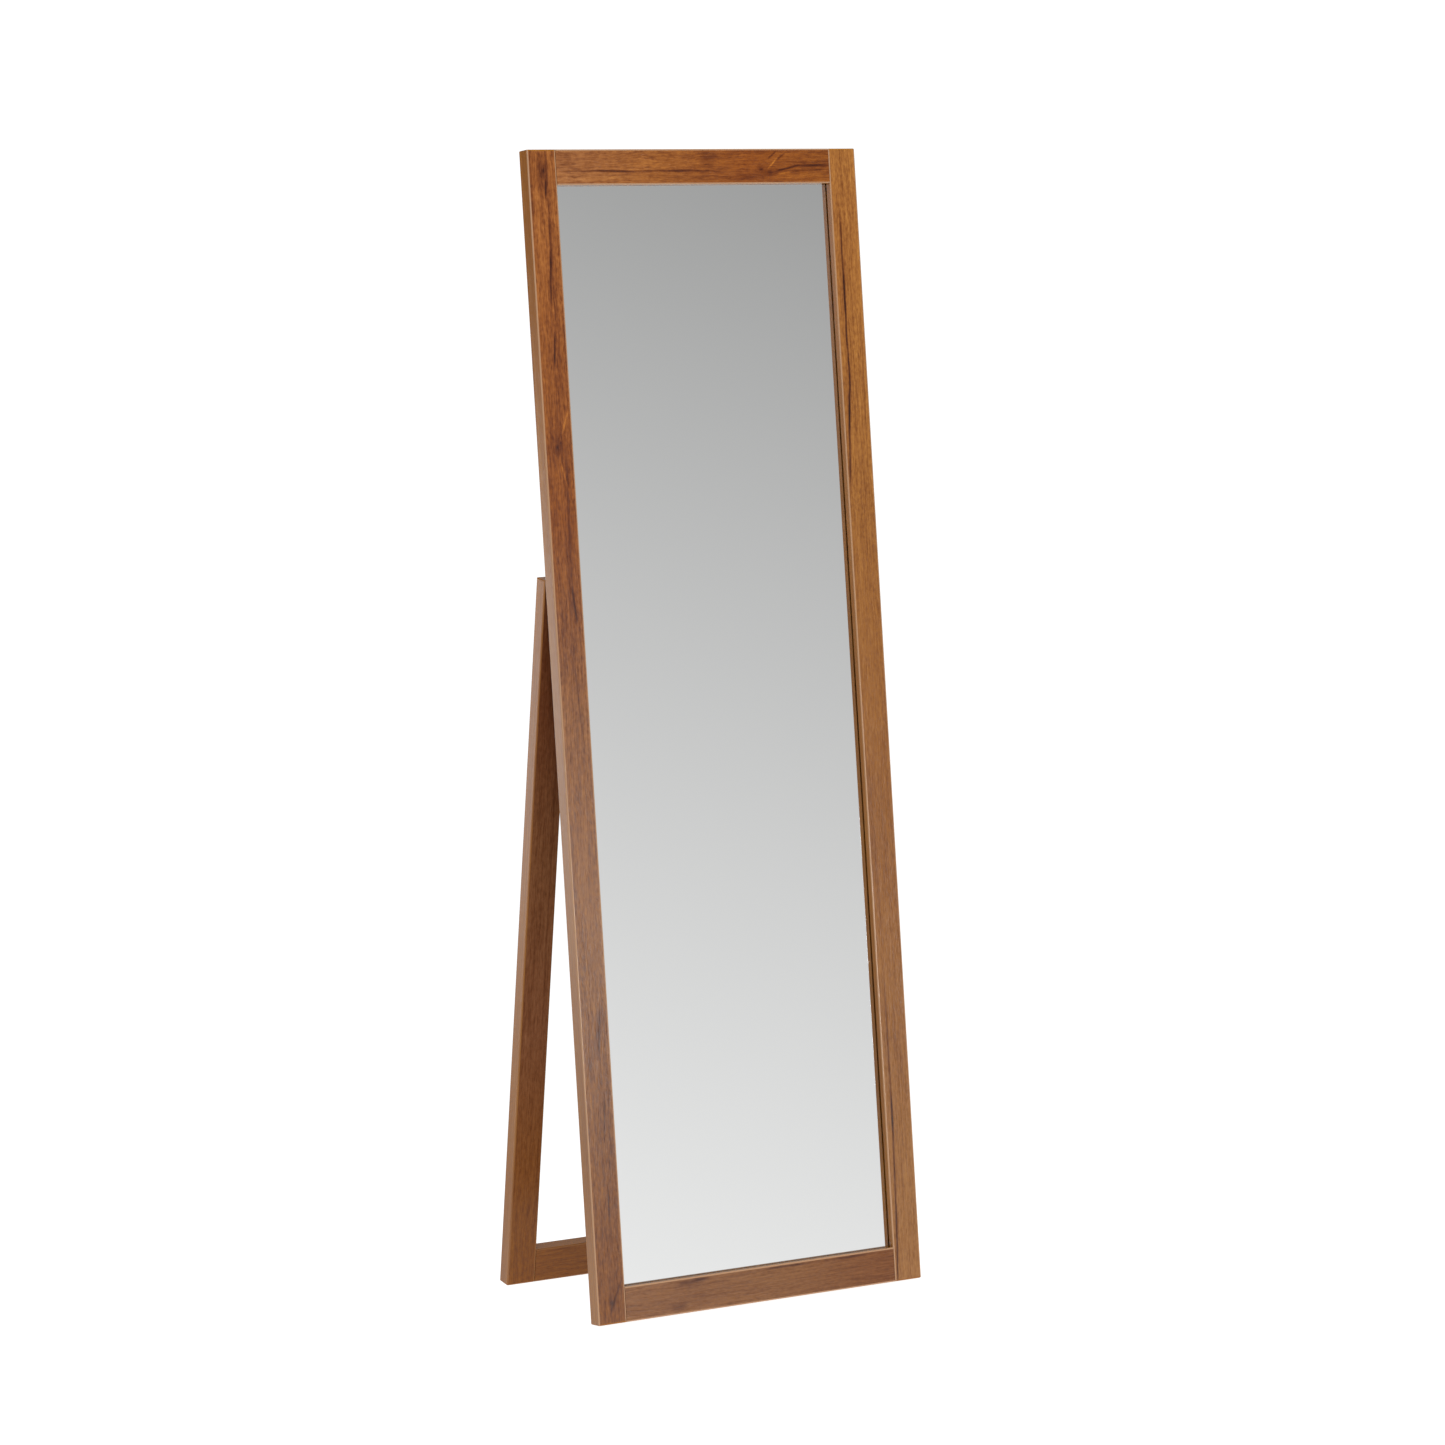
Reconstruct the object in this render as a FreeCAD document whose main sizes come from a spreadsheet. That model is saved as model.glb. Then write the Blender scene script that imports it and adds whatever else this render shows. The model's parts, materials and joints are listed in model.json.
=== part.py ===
"""A leaning floor mirror: a banded board frame round a mirror, held up by a folding rear stand.

The row frame has +X across, the front towards -Y and +Z up. Its origin is the centre of the
bounding box's bottom. The mirror frame and the stand are each drawn upright in a frame of their
own, x across from the middle, y from the front face to the back face and z up from the foot,
and then leaned by their Placement.
"""

import FreeCAD, Part
import math
import os
import re
import Sketcher
from FreeCAD import Placement, Rotation, Vector

os.makedirs("parts", exist_ok=True)
doc = FreeCAD.newDocument("floor_mirror")

# ---------------------------------------------------------------- driving dimensions, mm and degrees
DRIVING = {
    "frame_width": (500, "outside width of the mirror frame and of the stand"),
    "frame_height": (1530, "length of the mirror frame's stiles"),
    "stand_length": (973, "length of the stand's legs"),
    "board_depth": (22, "front to back thickness of every board"),
    "stile_width": (42, "face width of stiles and legs, bands included"),
    "rail_width": (46.5, "face width of rails, bands included"),
    "band_thick": (2, "thickness of the edge bands"),
    "band_radius": (1.5, "rounding of the edge bands' outer edges"),
    "lean_angle": (6.82, "mirror frame's lean from upright"),
    "stop_angle": (13.7, "angle between mirror frame and stand on the hinge stops"),
    "lip_depth": (9, "frame's front lip, from the face to the glass"),
    "rebate_width": (8, "how far the rear recess runs under the lip"),
    "glass_thick": (3, "mirror glass"),
    "backing_thick": (3, "hardboard backing"),
    "panel_play": (1, "gap between glass or backing and the recess wall"),
    "bead_set_back": (0.5, "how far the retaining beads stay below the back face"),
    "bead_rounding": (3, "rounding of the beads' free edge"),
    "brad_radius": (0.6, "shank of the bead brads"),
    "brad_length": (18, "length of the bead brads"),
    "brad_end": (122, "first side brad from the frame's end"),
    "dowel_radius": (4, "corner dowels"),
    "dowel_length": (30, "corner dowels, half in each board"),
    "dowel_edge": (12, "first dowel from the rail's edge"),
    "dowel_pitch": (14, "between the two dowels of a joint"),
    "hinge_width": (22, "length of the hinge along its pin"),
    "hinge_inset": (12, "hinge from the frame's side"),
    "knuckle_radius": (3, "outside of the hinge knuckles"),
    "knuckle_gap": (0.3, "running gap round and between knuckles"),
    "outer_knuckle": (5.5, "length of each outer knuckle"),
    "pin_radius": (1.5, "hinge pin"),
    "pin_play": (0.05, "radial clearance of the pin in the frame leaf"),
    "leaf_thick": (1.5, "hinge leaves and stop cheeks"),
    "frame_leaf_height": (32, "frame leaf above the pin's axis"),
    "leg_leaf_margin": (3, "leg leaf's end from the leg's back face"),
    "cheek_reach": (15, "stop cheek's reach from the pin's axis"),
    "cheek_height": (24, "stop cheek's height above the pin's axis"),
    "stop_gap": (0.15, "cheek to leg leaf when the stand is fully open"),
    "fold_gap": (0.5, "stand to mirror frame when folded flat"),
    "screw_radius": (1.6, "hinge screw shank"),
    "screw_head_radius": (3, "hinge screw head"),
    "screw_length": (16, "hinge screws, head included"),
    "screw_slot_width": (0.9, "width of the head's cross slot"),
    "screw_slot_arm": (2.1, "the cross slot's reach from the screw's axis"),
    "screw_slot_depth": (1.2, "depth of the head's cross slot"),
    "frame_screw_low": (11, "lower frame screw above the pin's axis"),
    "frame_screw_pitch": (11, "between the frame leaf's screws"),
    "leg_screw_pitch": (11, "between the leg leaf's screws"),
}
SIDE_BRADS = 5  # brads in each upright bead, evenly spaced


def derived(d):
    """Values that follow from the driving dimensions: the pin's place, and how the two frames stand."""
    lean, stand_angle = d["lean_angle"], d["stop_angle"] - d["lean_angle"]
    sin_lean, cos_lean = math.sin(math.radians(lean)), math.cos(math.radians(lean))
    sin_stand, cos_stand = math.sin(math.radians(stand_angle)), math.cos(math.radians(stand_angle))
    depth, rounding = d["board_depth"], d["band_radius"]
    axis_gap = d["knuckle_radius"] + d["knuckle_gap"]
    pin_in_frame_y = depth + axis_gap
    pin_in_leg_y = axis_gap - d["fold_gap"]
    pin_in_leg_z = d["stand_length"] + axis_gap
    # The mirror frame stands on its rounded rear bottom edge, the stand on its front one.
    frame_lift = (depth - rounding) * sin_lean + rounding * (1 - cos_lean)
    stand_lift = rounding * (1 - sin_stand - cos_stand)
    pin_height = stand_lift + pin_in_leg_y * sin_stand + pin_in_leg_z * cos_stand
    pin_in_frame_z = (pin_height - frame_lift + pin_in_frame_y * sin_lean) / cos_lean
    pin_from_frame = pin_in_frame_y * cos_lean + pin_in_frame_z * sin_lean
    pin_from_stand = pin_in_leg_y * cos_stand - pin_in_leg_z * sin_stand
    # Front and back of the whole, with the mirror frame's placement at y = 0.
    front = rounding * (cos_lean + sin_lean - 1)
    stand_base = pin_from_frame - pin_from_stand
    back = stand_base + (depth - rounding) * cos_stand - rounding * sin_stand + rounding
    frame_base = -(front + back) / 2
    return {
        "stand_angle": stand_angle,
        "pin_in_frame_y": pin_in_frame_y,
        "pin_in_frame_z": pin_in_frame_z,
        "pin_in_leg_y": pin_in_leg_y,
        "pin_in_leg_z": pin_in_leg_z,
        "frame_base_y": frame_base,
        "frame_base_z": frame_lift,
        "stand_base_y": frame_base + stand_base,
        "stand_base_z": stand_lift,
        "pin_y": frame_base + pin_from_frame,
        "pin_z": pin_height,
    }


sheet = doc.addObject("Spreadsheet::Sheet", "Sizes")
value = {name: float(number) for name, (number, _) in DRIVING.items()}
worked_out = derived(value)
notes = {name: note for name, (_, note) in DRIVING.items()}
notes.update({name: "worked out from the values above" for name in worked_out})
value.update(worked_out)
for row, name in enumerate(value, start=1):
    sheet.set(f"A{row}", notes[name])
    sheet.set(f"B{row}", f"{value[name]:.9g}")
    sheet.setAlias(f"B{row}", name)
doc.recompute()

FRAME = Placement(
    Vector(0, value["frame_base_y"], value["frame_base_z"]),
    Rotation(Vector(1, 0, 0), -value["lean_angle"]),
)
STAND = Placement(
    Vector(0, value["stand_base_y"], value["stand_base_z"]),
    Rotation(Vector(1, 0, 0), value["stand_angle"]),
)


def of_sheet(text):
    """An expression with the sheet's name in front of each alias in it."""
    return re.sub("[a-z_]+", lambda word: f"Sizes.{word[0]}" if word[0] in value else word[0], text)


# Places that several pieces share, as expressions over the sheet.
INNER_X = "(frame_width / 2 - stile_width)"  # the opening's side, from the middle
CORE_RAIL = "(rail_width - 2 * band_thick)"
RECESS_X = f"({INNER_X} + rebate_width)"
PANEL_X = f"({RECESS_X} - panel_play)"
RECESS_Z = "(rail_width - rebate_width)"
RECESS_HEIGHT = f"(frame_height - 2 * {RECESS_Z})"
BEAD_Y = "(lip_depth + glass_thick + backing_thick)"
BEAD_DEPTH = f"(board_depth - bead_set_back - {BEAD_Y})"
LEG_SCREW_Y = "(pin_in_leg_y + knuckle_radius + knuckle_gap + board_depth - leg_leaf_margin) / 2"
LEG_SCREWS = [
    ("(hinge_width - leg_screw_pitch) / 2", LEG_SCREW_Y),
    ("(hinge_width + leg_screw_pitch) / 2", LEG_SCREW_Y),
]
FRAME_SCREWS = [("0", "frame_screw_low"), ("0", "frame_screw_low + frame_screw_pitch")]

FIRST_GUESS = Vector(2, 2, 0)  # where sketch geometry starts before its constraints move it

pieces = []  # the sub-parts that are written out


def keep(piece, label, placement):
    """Names a finished sub-part, leans it with its frame and puts it on the list to write."""
    piece.Label = label
    piece.Placement = placement
    pieces.append(piece)
    return piece


# ---------------------------------------------------------------- sketches and features
def sketch_on(body, role, place):
    """A sketch on one of the body's own origin planes, moved by three expressions in its own axes."""
    sketch = body.newObject("Sketcher::SketchObject", f"{body.Name}_sketch")
    plane = next(f for f in body.Origin.OriginFeatures if f.Role == role)
    sketch.AttachmentSupport = (plane, [""])
    sketch.MapMode = "FlatFace"
    for axis, text in zip("xyz", place):
        sketch.setExpression(f"AttachmentOffset.Base.{axis}", of_sheet(text))
    return sketch


def place_point(sketch, geometry, point, across, up):
    """Fixes a point of the sketch by two expressions from the sketch's origin. "0" puts it on the axis."""
    for kind, axis, text in (("DistanceX", -2, across), ("DistanceY", -1, up)):
        if text == "0":
            sketch.addConstraint(Sketcher.Constraint("PointOnObject", geometry, point, axis))
        else:
            index = sketch.addConstraint(Sketcher.Constraint(kind, -1, 1, geometry, point, 1.0))
            sketch.setExpression(f"Constraints[{index}]", of_sheet(text))


def polygon(sketch, corners):
    """A closed outline whose corners are pairs of expressions, measured from the sketch's origin."""
    count = len(corners)
    # The outline starts as a small regular polygon, which the constraints then pull into place.
    turns = [i * math.tau / count for i in range(count)]
    start = [FIRST_GUESS + Vector(math.cos(turn), math.sin(turn), 0) for turn in turns]
    for i in range(count):
        sketch.addGeometry(Part.LineSegment(start[i], start[(i + 1) % count]))
    for i in range(count):
        sketch.addConstraint(Sketcher.Constraint("Coincident", i, 2, (i + 1) % count, 1))
    for i, corner in enumerate(corners):
        place_point(sketch, i, 1, *corner)


def rectangle(sketch, width, height):
    """A rectangle from the sketch's origin to the right and up."""
    polygon(sketch, [("0", "0"), (width, "0"), (width, height), ("0", height)])


def circle(sketch, across, up, radius):
    """A circle whose centre and radius are expressions."""
    index = sketch.addGeometry(Part.Circle(FIRST_GUESS, Vector(0, 0, 1), 1))
    place_point(sketch, index, 3, across, up)
    size = sketch.addConstraint(Sketcher.Constraint("Radius", index, 1.0))
    sketch.setExpression(f"Constraints[{size}]", of_sheet(radius))


def feature(body, kind, sketch, length, backwards=False):
    """A Pad or Pocket of a sketch. A pocket has to take something away, and a pad has to add something."""
    doc.recompute()
    before = body.Shape.Volume if body.Tip and not body.Shape.isNull() else 0
    made = body.newObject(f"PartDesign::{kind}", f"{body.Name}_{kind}")
    made.Profile = sketch
    made.setExpression("Length", of_sheet(length))
    made.Reversed = backwards
    doc.recompute()
    change = body.Shape.Volume - before
    if change * (1 if kind == "Pad" else -1) <= 0:
        raise RuntimeError(f"{made.Name} changed {body.Label} by {change:.3f} mm3")
    return made


def block(label, placement, x, width, z, height, y="0", depth="board_depth"):
    """A rectangular piece: a sketch on the XZ plane, padded from depth y towards the back."""
    body = doc.addObject("PartDesign::Body", label)
    sketch = sketch_on(body, "XZ_Plane", (x, z, f"-1 * ({y})"))
    rectangle(sketch, width, height)
    feature(body, "Pad", sketch, depth, backwards=True)
    return keep(body, label, placement)


def dress(body, kind, size_name, size, chosen):
    """A Fillet or Chamfer on those edges of the body's last feature that chosen(edge) picks."""
    base = body.Tip
    names = [f"Edge{i}" for i, edge in enumerate(base.Shape.Edges, start=1) if chosen(edge)]
    if not names:
        raise RuntimeError(f"no edge of {body.Label} was chosen for its {kind}")
    made = body.newObject(f"PartDesign::{kind}", f"{body.Name}_{kind}")
    made.Base = (base, names)
    made.setExpression(size_name, of_sheet(size))
    doc.recompute()


def local_middle(edge):
    return edge.valueAt((edge.FirstParameter + edge.LastParameter) / 2)


def near(a, b):
    return abs(a - b) < 1e-6


def runs_along_x(edge):
    return edge.Curve.TypeId == "Part::GeomLine" and near(abs(edge.Curve.Direction.x), 1)


# ---------------------------------------------------------------- boards, bands and dowels
def side_band(label, placement, x, glued_x, z, height):
    """A band on a stile's or leg's long edge, rounded on every edge that isn't glued down."""
    body = block(label, placement, x, "band_thick", z, height)
    dress(body, "Fillet", "Radius", "band_radius", lambda e: not near(local_middle(e).x, glued_x))
    return body


def flat_band(label, placement, x, width, z, glued_z, depth="board_depth"):
    """A band on a rail's edge or a stile's end, its long free edges rounded."""
    body = block(label, placement, x, width, z, "band_thick", depth=depth)
    full_depth = depth == "board_depth"

    def free(edge):
        middle = local_middle(edge)
        return runs_along_x(edge) and not near(middle.z, glued_z) and (full_depth or near(middle.y, 0))

    dress(body, "Fillet", "Radius", "band_radius", free)
    return body


def sunk_holes(body, role, place, centres, radius, depth, backwards):
    """Blind round holes from a plane of the body."""
    sketch = sketch_on(body, role, place)
    for across, up in centres:
        circle(sketch, across, up, radius)
    feature(body, "Pocket", sketch, depth, backwards)


def dowel_holes(body, side, heights, into_rail):
    """Dowel holes from the joint's plane, out into the stile or in along the rail.

    side is -1 at the left and 1 at the right.
    """
    plane = ("0", "0", f"{side} * {INNER_X}")
    centres = [("board_depth / 2", height) for height in heights]
    towards_plus_x = (side > 0) != into_rail
    sunk_holes(body, "YZ_Plane", plane, centres, "dowel_radius", "dowel_length / 2", towards_plus_x)


def board_frame(placement, stile, names, height, low_heights, high_heights, recessed):
    """Two full-length stiles with two rails between them, dowelled at the corners, with banded edges.

    stile is the word for an upright, names are the two rails' labels, and the heights are where the
    dowels of the lower and upper joints sit. A recessed frame leaves its inner rail bands lip deep.
    """
    uprights = {}
    top = value["frame_height"] if recessed else value["stand_length"]
    thick = value["band_thick"]
    half = value["frame_width"] / 2
    inner = half - value["stile_width"]
    for side, word in ((-1, "left"), (1, "right")):
        name = f"{word}_{stile}"
        outer_x = "-1 * frame_width / 2" if side < 0 else "frame_width / 2 - band_thick"
        core_x = "-1 * frame_width / 2 + band_thick" if side < 0 else f"{INNER_X} + band_thick"
        inner_x = f"-1 * {INNER_X} - band_thick" if side < 0 else INNER_X
        core_width = "stile_width - 2 * band_thick"
        core = block(name, placement, core_x, core_width, "band_thick", f"{height} - 2 * band_thick")
        glued_outer, glued_inner = side * (half - thick), side * (inner + thick)
        side_band(f"{name}_outer_band", placement, outer_x, glued_outer, "0", height)
        inner_band = side_band(f"{name}_inner_band", placement, inner_x, glued_inner, "0", height)
        flat_band(f"{name}_foot_band", placement, core_x, core_width, "0", thick)
        flat_band(f"{name}_top_band", placement, core_x, core_width, f"{height} - band_thick", top - thick)
        for body in (core, inner_band):
            dowel_holes(body, side, low_heights + high_heights, into_rail=False)
        uprights[word] = (core, inner_band)

    rails = []
    rail_x, rail_length = f"-1 * {INNER_X}", f"2 * {INNER_X}"
    for label, foot, heights in (
        (names[0], "0", low_heights),
        (names[1], f"{height} - rail_width", high_heights),
    ):
        at_foot = foot == "0"
        low = 0 if at_foot else top - value["rail_width"]
        core = block(label, placement, rail_x, rail_length, f"{foot} + band_thick", CORE_RAIL)
        for side in (-1, 1):
            dowel_holes(core, side, heights, into_rail=True)
        lower_depth = "lip_depth" if recessed and not at_foot else "board_depth"
        upper_depth = "lip_depth" if recessed and at_foot else "board_depth"
        for word, z, glued_z, depth in (
            ("lower", foot, low + thick, lower_depth),
            ("upper", f"{foot} + rail_width - band_thick", low + value["rail_width"] - thick, upper_depth),
        ):
            flat_band(f"{label}_{word}_band", placement, rail_x, rail_length, z, glued_z, depth)
        rails.append(core)
    return uprights, rails


def cylinder(start, direction, radius, length):
    """A Part cylinder along a direction, with expressions for its radius, length and start."""
    made = doc.addObject("Part::Cylinder", "rod")
    made.Placement = Placement(Vector(0, 0, 0), Rotation(Vector(0, 0, 1), direction))
    made.setExpression("Radius", of_sheet(radius))
    made.setExpression("Height", of_sheet(length))
    for axis, text in zip("xyz", start):
        made.setExpression(f"Placement.Base.{axis}", of_sheet(text))
    return made


def group(label, placement, members):
    """Identical separate solids that share one node."""
    compound = doc.addObject("Part::Compound", label)
    compound.Links = members
    return keep(compound, label, placement)


def dowels(label, placement, heights):
    rods = []
    for side in (-1, 1):
        for height in heights:
            start = (f"{side} * {INNER_X} - dowel_length / 2", "board_depth / 2", height)
            rods.append(cylinder(start, Vector(1, 0, 0), "dowel_radius", "dowel_length"))
    return group(label, placement, rods)


# ---------------------------------------------------------------- what the frame's recess holds
def recess(body):
    """Cuts the rear recess, open to the back, out of a board or band that surrounds it."""
    sketch = sketch_on(body, "XZ_Plane", (f"-1 * {RECESS_X}", RECESS_Z, "-1 * lip_depth"))
    rectangle(sketch, f"2 * {RECESS_X}", RECESS_HEIGHT)
    feature(body, "Pocket", sketch, "board_depth - lip_depth")


def panel(label, y, thick):
    return block(
        label,
        FRAME,
        f"-1 * {PANEL_X}",
        f"2 * {PANEL_X}",
        f"{RECESS_Z} + panel_play",
        f"{RECESS_HEIGHT} - 2 * panel_play",
        y,
        thick,
    )


def beads():
    """Four beads that hold glass and backing against the lip, the upright ones full height."""
    inner_x = value["frame_width"] / 2 - value["stile_width"]
    inner_low = value["rail_width"]
    inner_high = value["frame_height"] - value["rail_width"]
    back = value["board_depth"] - value["bead_set_back"]
    upright = ("rebate_width", RECESS_Z, RECESS_HEIGHT, "x")
    left_x, rail_length, top_z = f"-1 * {INNER_X}", f"2 * {INNER_X}", "frame_height - rail_width"
    layout = (
        ("left_bead", f"-1 * {RECESS_X}", *upright, -inner_x),
        ("right_bead", INNER_X, *upright, inner_x),
        ("bottom_bead", left_x, rail_length, RECESS_Z, "rebate_width", "z", inner_low),
        ("top_bead", left_x, rail_length, top_z, "rebate_width", "z", inner_high),
    )
    for label, x, width, z, height, axis, free_at in layout:
        body = block(label, FRAME, x, width, z, height, BEAD_Y, BEAD_DEPTH)

        def free_back_edge(edge, axis=axis, free_at=free_at):
            middle = local_middle(edge)
            return near(getattr(middle, axis), free_at) and near(middle.y, back)

        dress(body, "Fillet", "Radius", "bead_rounding", free_back_edge)


def brads():
    """Brads driven sideways through the beads into the boards."""
    middle_y = f"{BEAD_Y} + {BEAD_DEPTH} / 2"
    rods = []
    for side in (-1, 1):
        for i in range(SIDE_BRADS):
            height = f"brad_end + (frame_height - 2 * brad_end) * {i} / {SIDE_BRADS - 1}"
            start = (f"{side} * {INNER_X}", middle_y, height)
            rods.append(cylinder(start, Vector(side, 0, 0), "brad_radius", "brad_length"))
    for end, z in ((-1, "rail_width"), (1, "frame_height - rail_width")):
        for side in (-1, 1):
            start = (f"{side} * {INNER_X} / 2", middle_y, z)
            rods.append(cylinder(start, Vector(0, 0, end), "brad_radius", "brad_length"))
    return group("bead_brads", FRAME, rods)


# ---------------------------------------------------------------- stop hinges
def hinge_x(side):
    """The hinge's left end, as an expression."""
    if side < 0:
        return "(hinge_inset - frame_width / 2)"
    return "(frame_width / 2 - hinge_inset - hinge_width)"


def knuckle(body, x, length, pin_y, pin_z, radius, kind="Pad"):
    """A round boss or bore about the pin's axis, from x towards +X."""
    sketch = sketch_on(body, "YZ_Plane", ("0", "0", x))
    circle(sketch, pin_y, pin_z, radius)
    feature(body, kind, sketch, length, backwards=kind == "Pocket")


def countersink(body, axis, face_at):
    """Chamfers the screw holes' mouths on one face of the leaf."""

    def mouth(edge):
        curve = edge.Curve
        if curve.TypeId != "Part::GeomCircle" or not near(curve.Radius, value["screw_radius"]):
            return False
        return near(getattr(curve.Center, axis), face_at)

    dress(body, "Chamfer", "Size", "screw_head_radius - screw_radius", mouth)


def frame_leaf(side, word):
    """The leaf on the stile's back: a plate with two outer knuckles and a stop cheek down each side."""
    label = f"{word}_hinge_frame_leaf"
    x = hinge_x(side)
    pin_y, pin_z = "pin_in_frame_y", "pin_in_frame_z"
    body = block(label, FRAME, x, "hinge_width", pin_z, "frame_leaf_height", "board_depth", "leaf_thick")
    # The cheek's lower edge lies along the leg leaf when the stand is fully open.
    edge_drop = "(knuckle_radius + knuckle_gap - leaf_thick - stop_gap)"
    axis_y = "(knuckle_radius + knuckle_gap)"
    axis_z = "knuckle_radius"
    cheek = [
        (f"{axis_y} + {edge_drop} * sin(stop_angle)", f"{axis_z} - {edge_drop} * cos(stop_angle)"),
        (
            f"{axis_y} + {edge_drop} * sin(stop_angle) + cheek_reach * cos(stop_angle)",
            f"{axis_z} - {edge_drop} * cos(stop_angle) + cheek_reach * sin(stop_angle)",
        ),
        (f"{axis_y} + cheek_reach * cos(stop_angle)", f"{axis_z} + cheek_reach / 2"),
        ("leaf_thick", f"{axis_z} + cheek_height"),
        ("leaf_thick / 2", f"{axis_z} + cheek_height"),
        ("leaf_thick / 2", axis_z),
    ]
    for start in (x, f"{x} + hinge_width - leaf_thick"):
        sketch = sketch_on(body, "YZ_Plane", ("board_depth", f"{pin_z} - knuckle_radius", start))
        polygon(sketch, cheek)
        feature(body, "Pad", sketch, "leaf_thick")
    for start in (x, f"{x} + hinge_width - outer_knuckle"):
        knuckle(body, start, "outer_knuckle", pin_y, pin_z, "knuckle_radius")
    middle = f"{x} + outer_knuckle"
    middle_length = "hinge_width - 2 * outer_knuckle"
    knuckle(body, middle, middle_length, pin_y, pin_z, "knuckle_radius + knuckle_gap", "Pocket")
    knuckle(body, x, "hinge_width", pin_y, pin_z, "pin_radius + pin_play", "Pocket")
    plane = (f"{x} + hinge_width / 2", pin_z, "-1 * board_depth")
    sunk_holes(body, "XZ_Plane", plane, FRAME_SCREWS, "screw_radius", "leaf_thick", False)
    countersink(body, "y", value["board_depth"] + value["leaf_thick"])


def leg_leaf(side, word):
    """The leaf on the leg's top end, with the middle knuckle."""
    x = hinge_x(side)
    pin_y, pin_z = "pin_in_leg_y", "pin_in_leg_z"
    reach = f"board_depth - leg_leaf_margin - {pin_y}"
    place = (x, "hinge_width", "stand_length", "leaf_thick", pin_y, reach)
    body = block(f"{word}_hinge_leg_leaf", STAND, *place)
    for start in (x, f"{x} + hinge_width - outer_knuckle - knuckle_gap"):
        length = "outer_knuckle + knuckle_gap"
        knuckle(body, start, length, pin_y, pin_z, "knuckle_radius + knuckle_gap", "Pocket")
    start = f"{x} + outer_knuckle + knuckle_gap"
    length = "hinge_width - 2 * outer_knuckle - 2 * knuckle_gap"
    knuckle(body, start, length, pin_y, pin_z, "knuckle_radius")
    knuckle(body, x, "hinge_width", pin_y, pin_z, "pin_radius", "Pocket")
    plane = (x, "0", "stand_length")
    sunk_holes(body, "XY_Plane", plane, LEG_SCREWS, "screw_radius", "leaf_thick", True)
    countersink(body, "z", value["stand_length"] + value["leaf_thick"])


def pin(side, word):
    """The pin, fast in the leg leaf's knuckle and free in the frame leaf's."""
    start = (hinge_x(side), "pin_in_leg_y", "pin_in_leg_z")
    rod = cylinder(start, Vector(1, 0, 0), "pin_radius", "hinge_width")
    group(f"{word}_hinge_pin", STAND, [rod])


def pilot_holes(side, stile, leg, leg_top_band):
    """Pilot holes for the hinge screws, in the stile's back and down the leg's top end."""
    x = hinge_x(side)
    depth = "screw_length - leaf_thick"
    plane = (f"{x} + hinge_width / 2", "pin_in_frame_z", "-1 * board_depth")
    sunk_holes(stile, "XZ_Plane", plane, FRAME_SCREWS, "screw_radius", depth, True)
    for body in (leg, leg_top_band):
        sunk_holes(body, "XY_Plane", (x, "0", "stand_length"), LEG_SCREWS, "screw_radius", depth, False)


def screw():
    """One countersunk wood screw, head up at the origin, pointing down."""
    head, shank, length = value["screw_head_radius"], value["screw_radius"], value["screw_length"]
    cone = head - shank
    tip = 2 * shank  # length of the pointed end
    corners = [(0, 0), (head, 0), (shank, -cone), (shank, tip - length), (0, -length), (0, 0)]
    outline = Part.makePolygon([Vector(x, 0, z) for x, z in corners])
    solid = Part.Face(outline).revolve(Vector(0, 0, 0), Vector(0, 0, 1), 360)
    width, depth, arm = value["screw_slot_width"], value["screw_slot_depth"], value["screw_slot_arm"]
    for along, across in ((arm, width / 2), (width / 2, arm)):
        corner = Vector(-along, -across, -depth)
        solid = solid.cut(Part.makeBox(2 * along, 2 * across, 2 * depth, corner))
    return solid


def screws(label, placement, heads, turn):
    """Copies of the screw with their heads at the given places, turned to their direction."""
    copies = []
    for place in heads:
        copy = screw()
        copy.Placement = Placement(place, turn)
        copies.append(copy)
    piece = doc.addObject("Part::Feature", label)
    piece.Shape = Part.makeCompound(copies)
    keep(piece, label, placement)


def hinge_screws():
    """The screws of both hinges: two through each frame leaf, two through each leg leaf."""
    v = value
    middle = v["frame_width"] / 2 - v["hinge_inset"] - v["hinge_width"] / 2
    frame_heads, leg_heads = [], []
    plate_front = v["pin_in_leg_y"] + v["knuckle_radius"] + v["knuckle_gap"]
    leg_y = (plate_front + v["board_depth"] - v["leg_leaf_margin"]) / 2
    for side in (-1, 1):
        for step in (0, 1):
            up = v["pin_in_frame_z"] + v["frame_screw_low"] + step * v["frame_screw_pitch"]
            frame_heads.append(Vector(side * middle, v["board_depth"] + v["leaf_thick"], up))
            across = side * middle + (step - 0.5) * v["leg_screw_pitch"]
            leg_heads.append(Vector(across, leg_y, v["stand_length"] + v["leaf_thick"]))
    head_to_back = Rotation(Vector(1, 0, 0), -90)
    screws("hinge_frame_screws", FRAME, frame_heads, head_to_back)
    screws("hinge_leg_screws", STAND, leg_heads, Rotation())


# ---------------------------------------------------------------- the mirror
FRAME_LOW = ["dowel_edge", "dowel_edge + dowel_pitch"]
FRAME_HIGH = ["frame_height - dowel_edge", "frame_height - dowel_edge - dowel_pitch"]
STAND_HIGH = [f"stand_length - rail_width + {height}" for height in FRAME_LOW]

FRAME_RAILS = ("bottom_rail", "top_rail")
STAND_RAILS = ("stand_bottom_rail", "stand_top_rail")

stiles, frame_rails = board_frame(
    FRAME, "stile", FRAME_RAILS, "frame_height", FRAME_LOW, FRAME_HIGH, recessed=True
)
for surround in (*stiles["left"], *stiles["right"], *frame_rails):
    recess(surround)
dowels("frame_dowels", FRAME, FRAME_LOW + FRAME_HIGH)
panel("mirror_glass", "lip_depth", "glass_thick")
panel("backing_panel", "lip_depth + glass_thick", "backing_thick")
beads()
brads()

legs, _ = board_frame(
    STAND, "leg", STAND_RAILS, "stand_length", FRAME_LOW, STAND_HIGH, recessed=False
)
dowels("stand_dowels", STAND, FRAME_LOW + STAND_HIGH)

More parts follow.
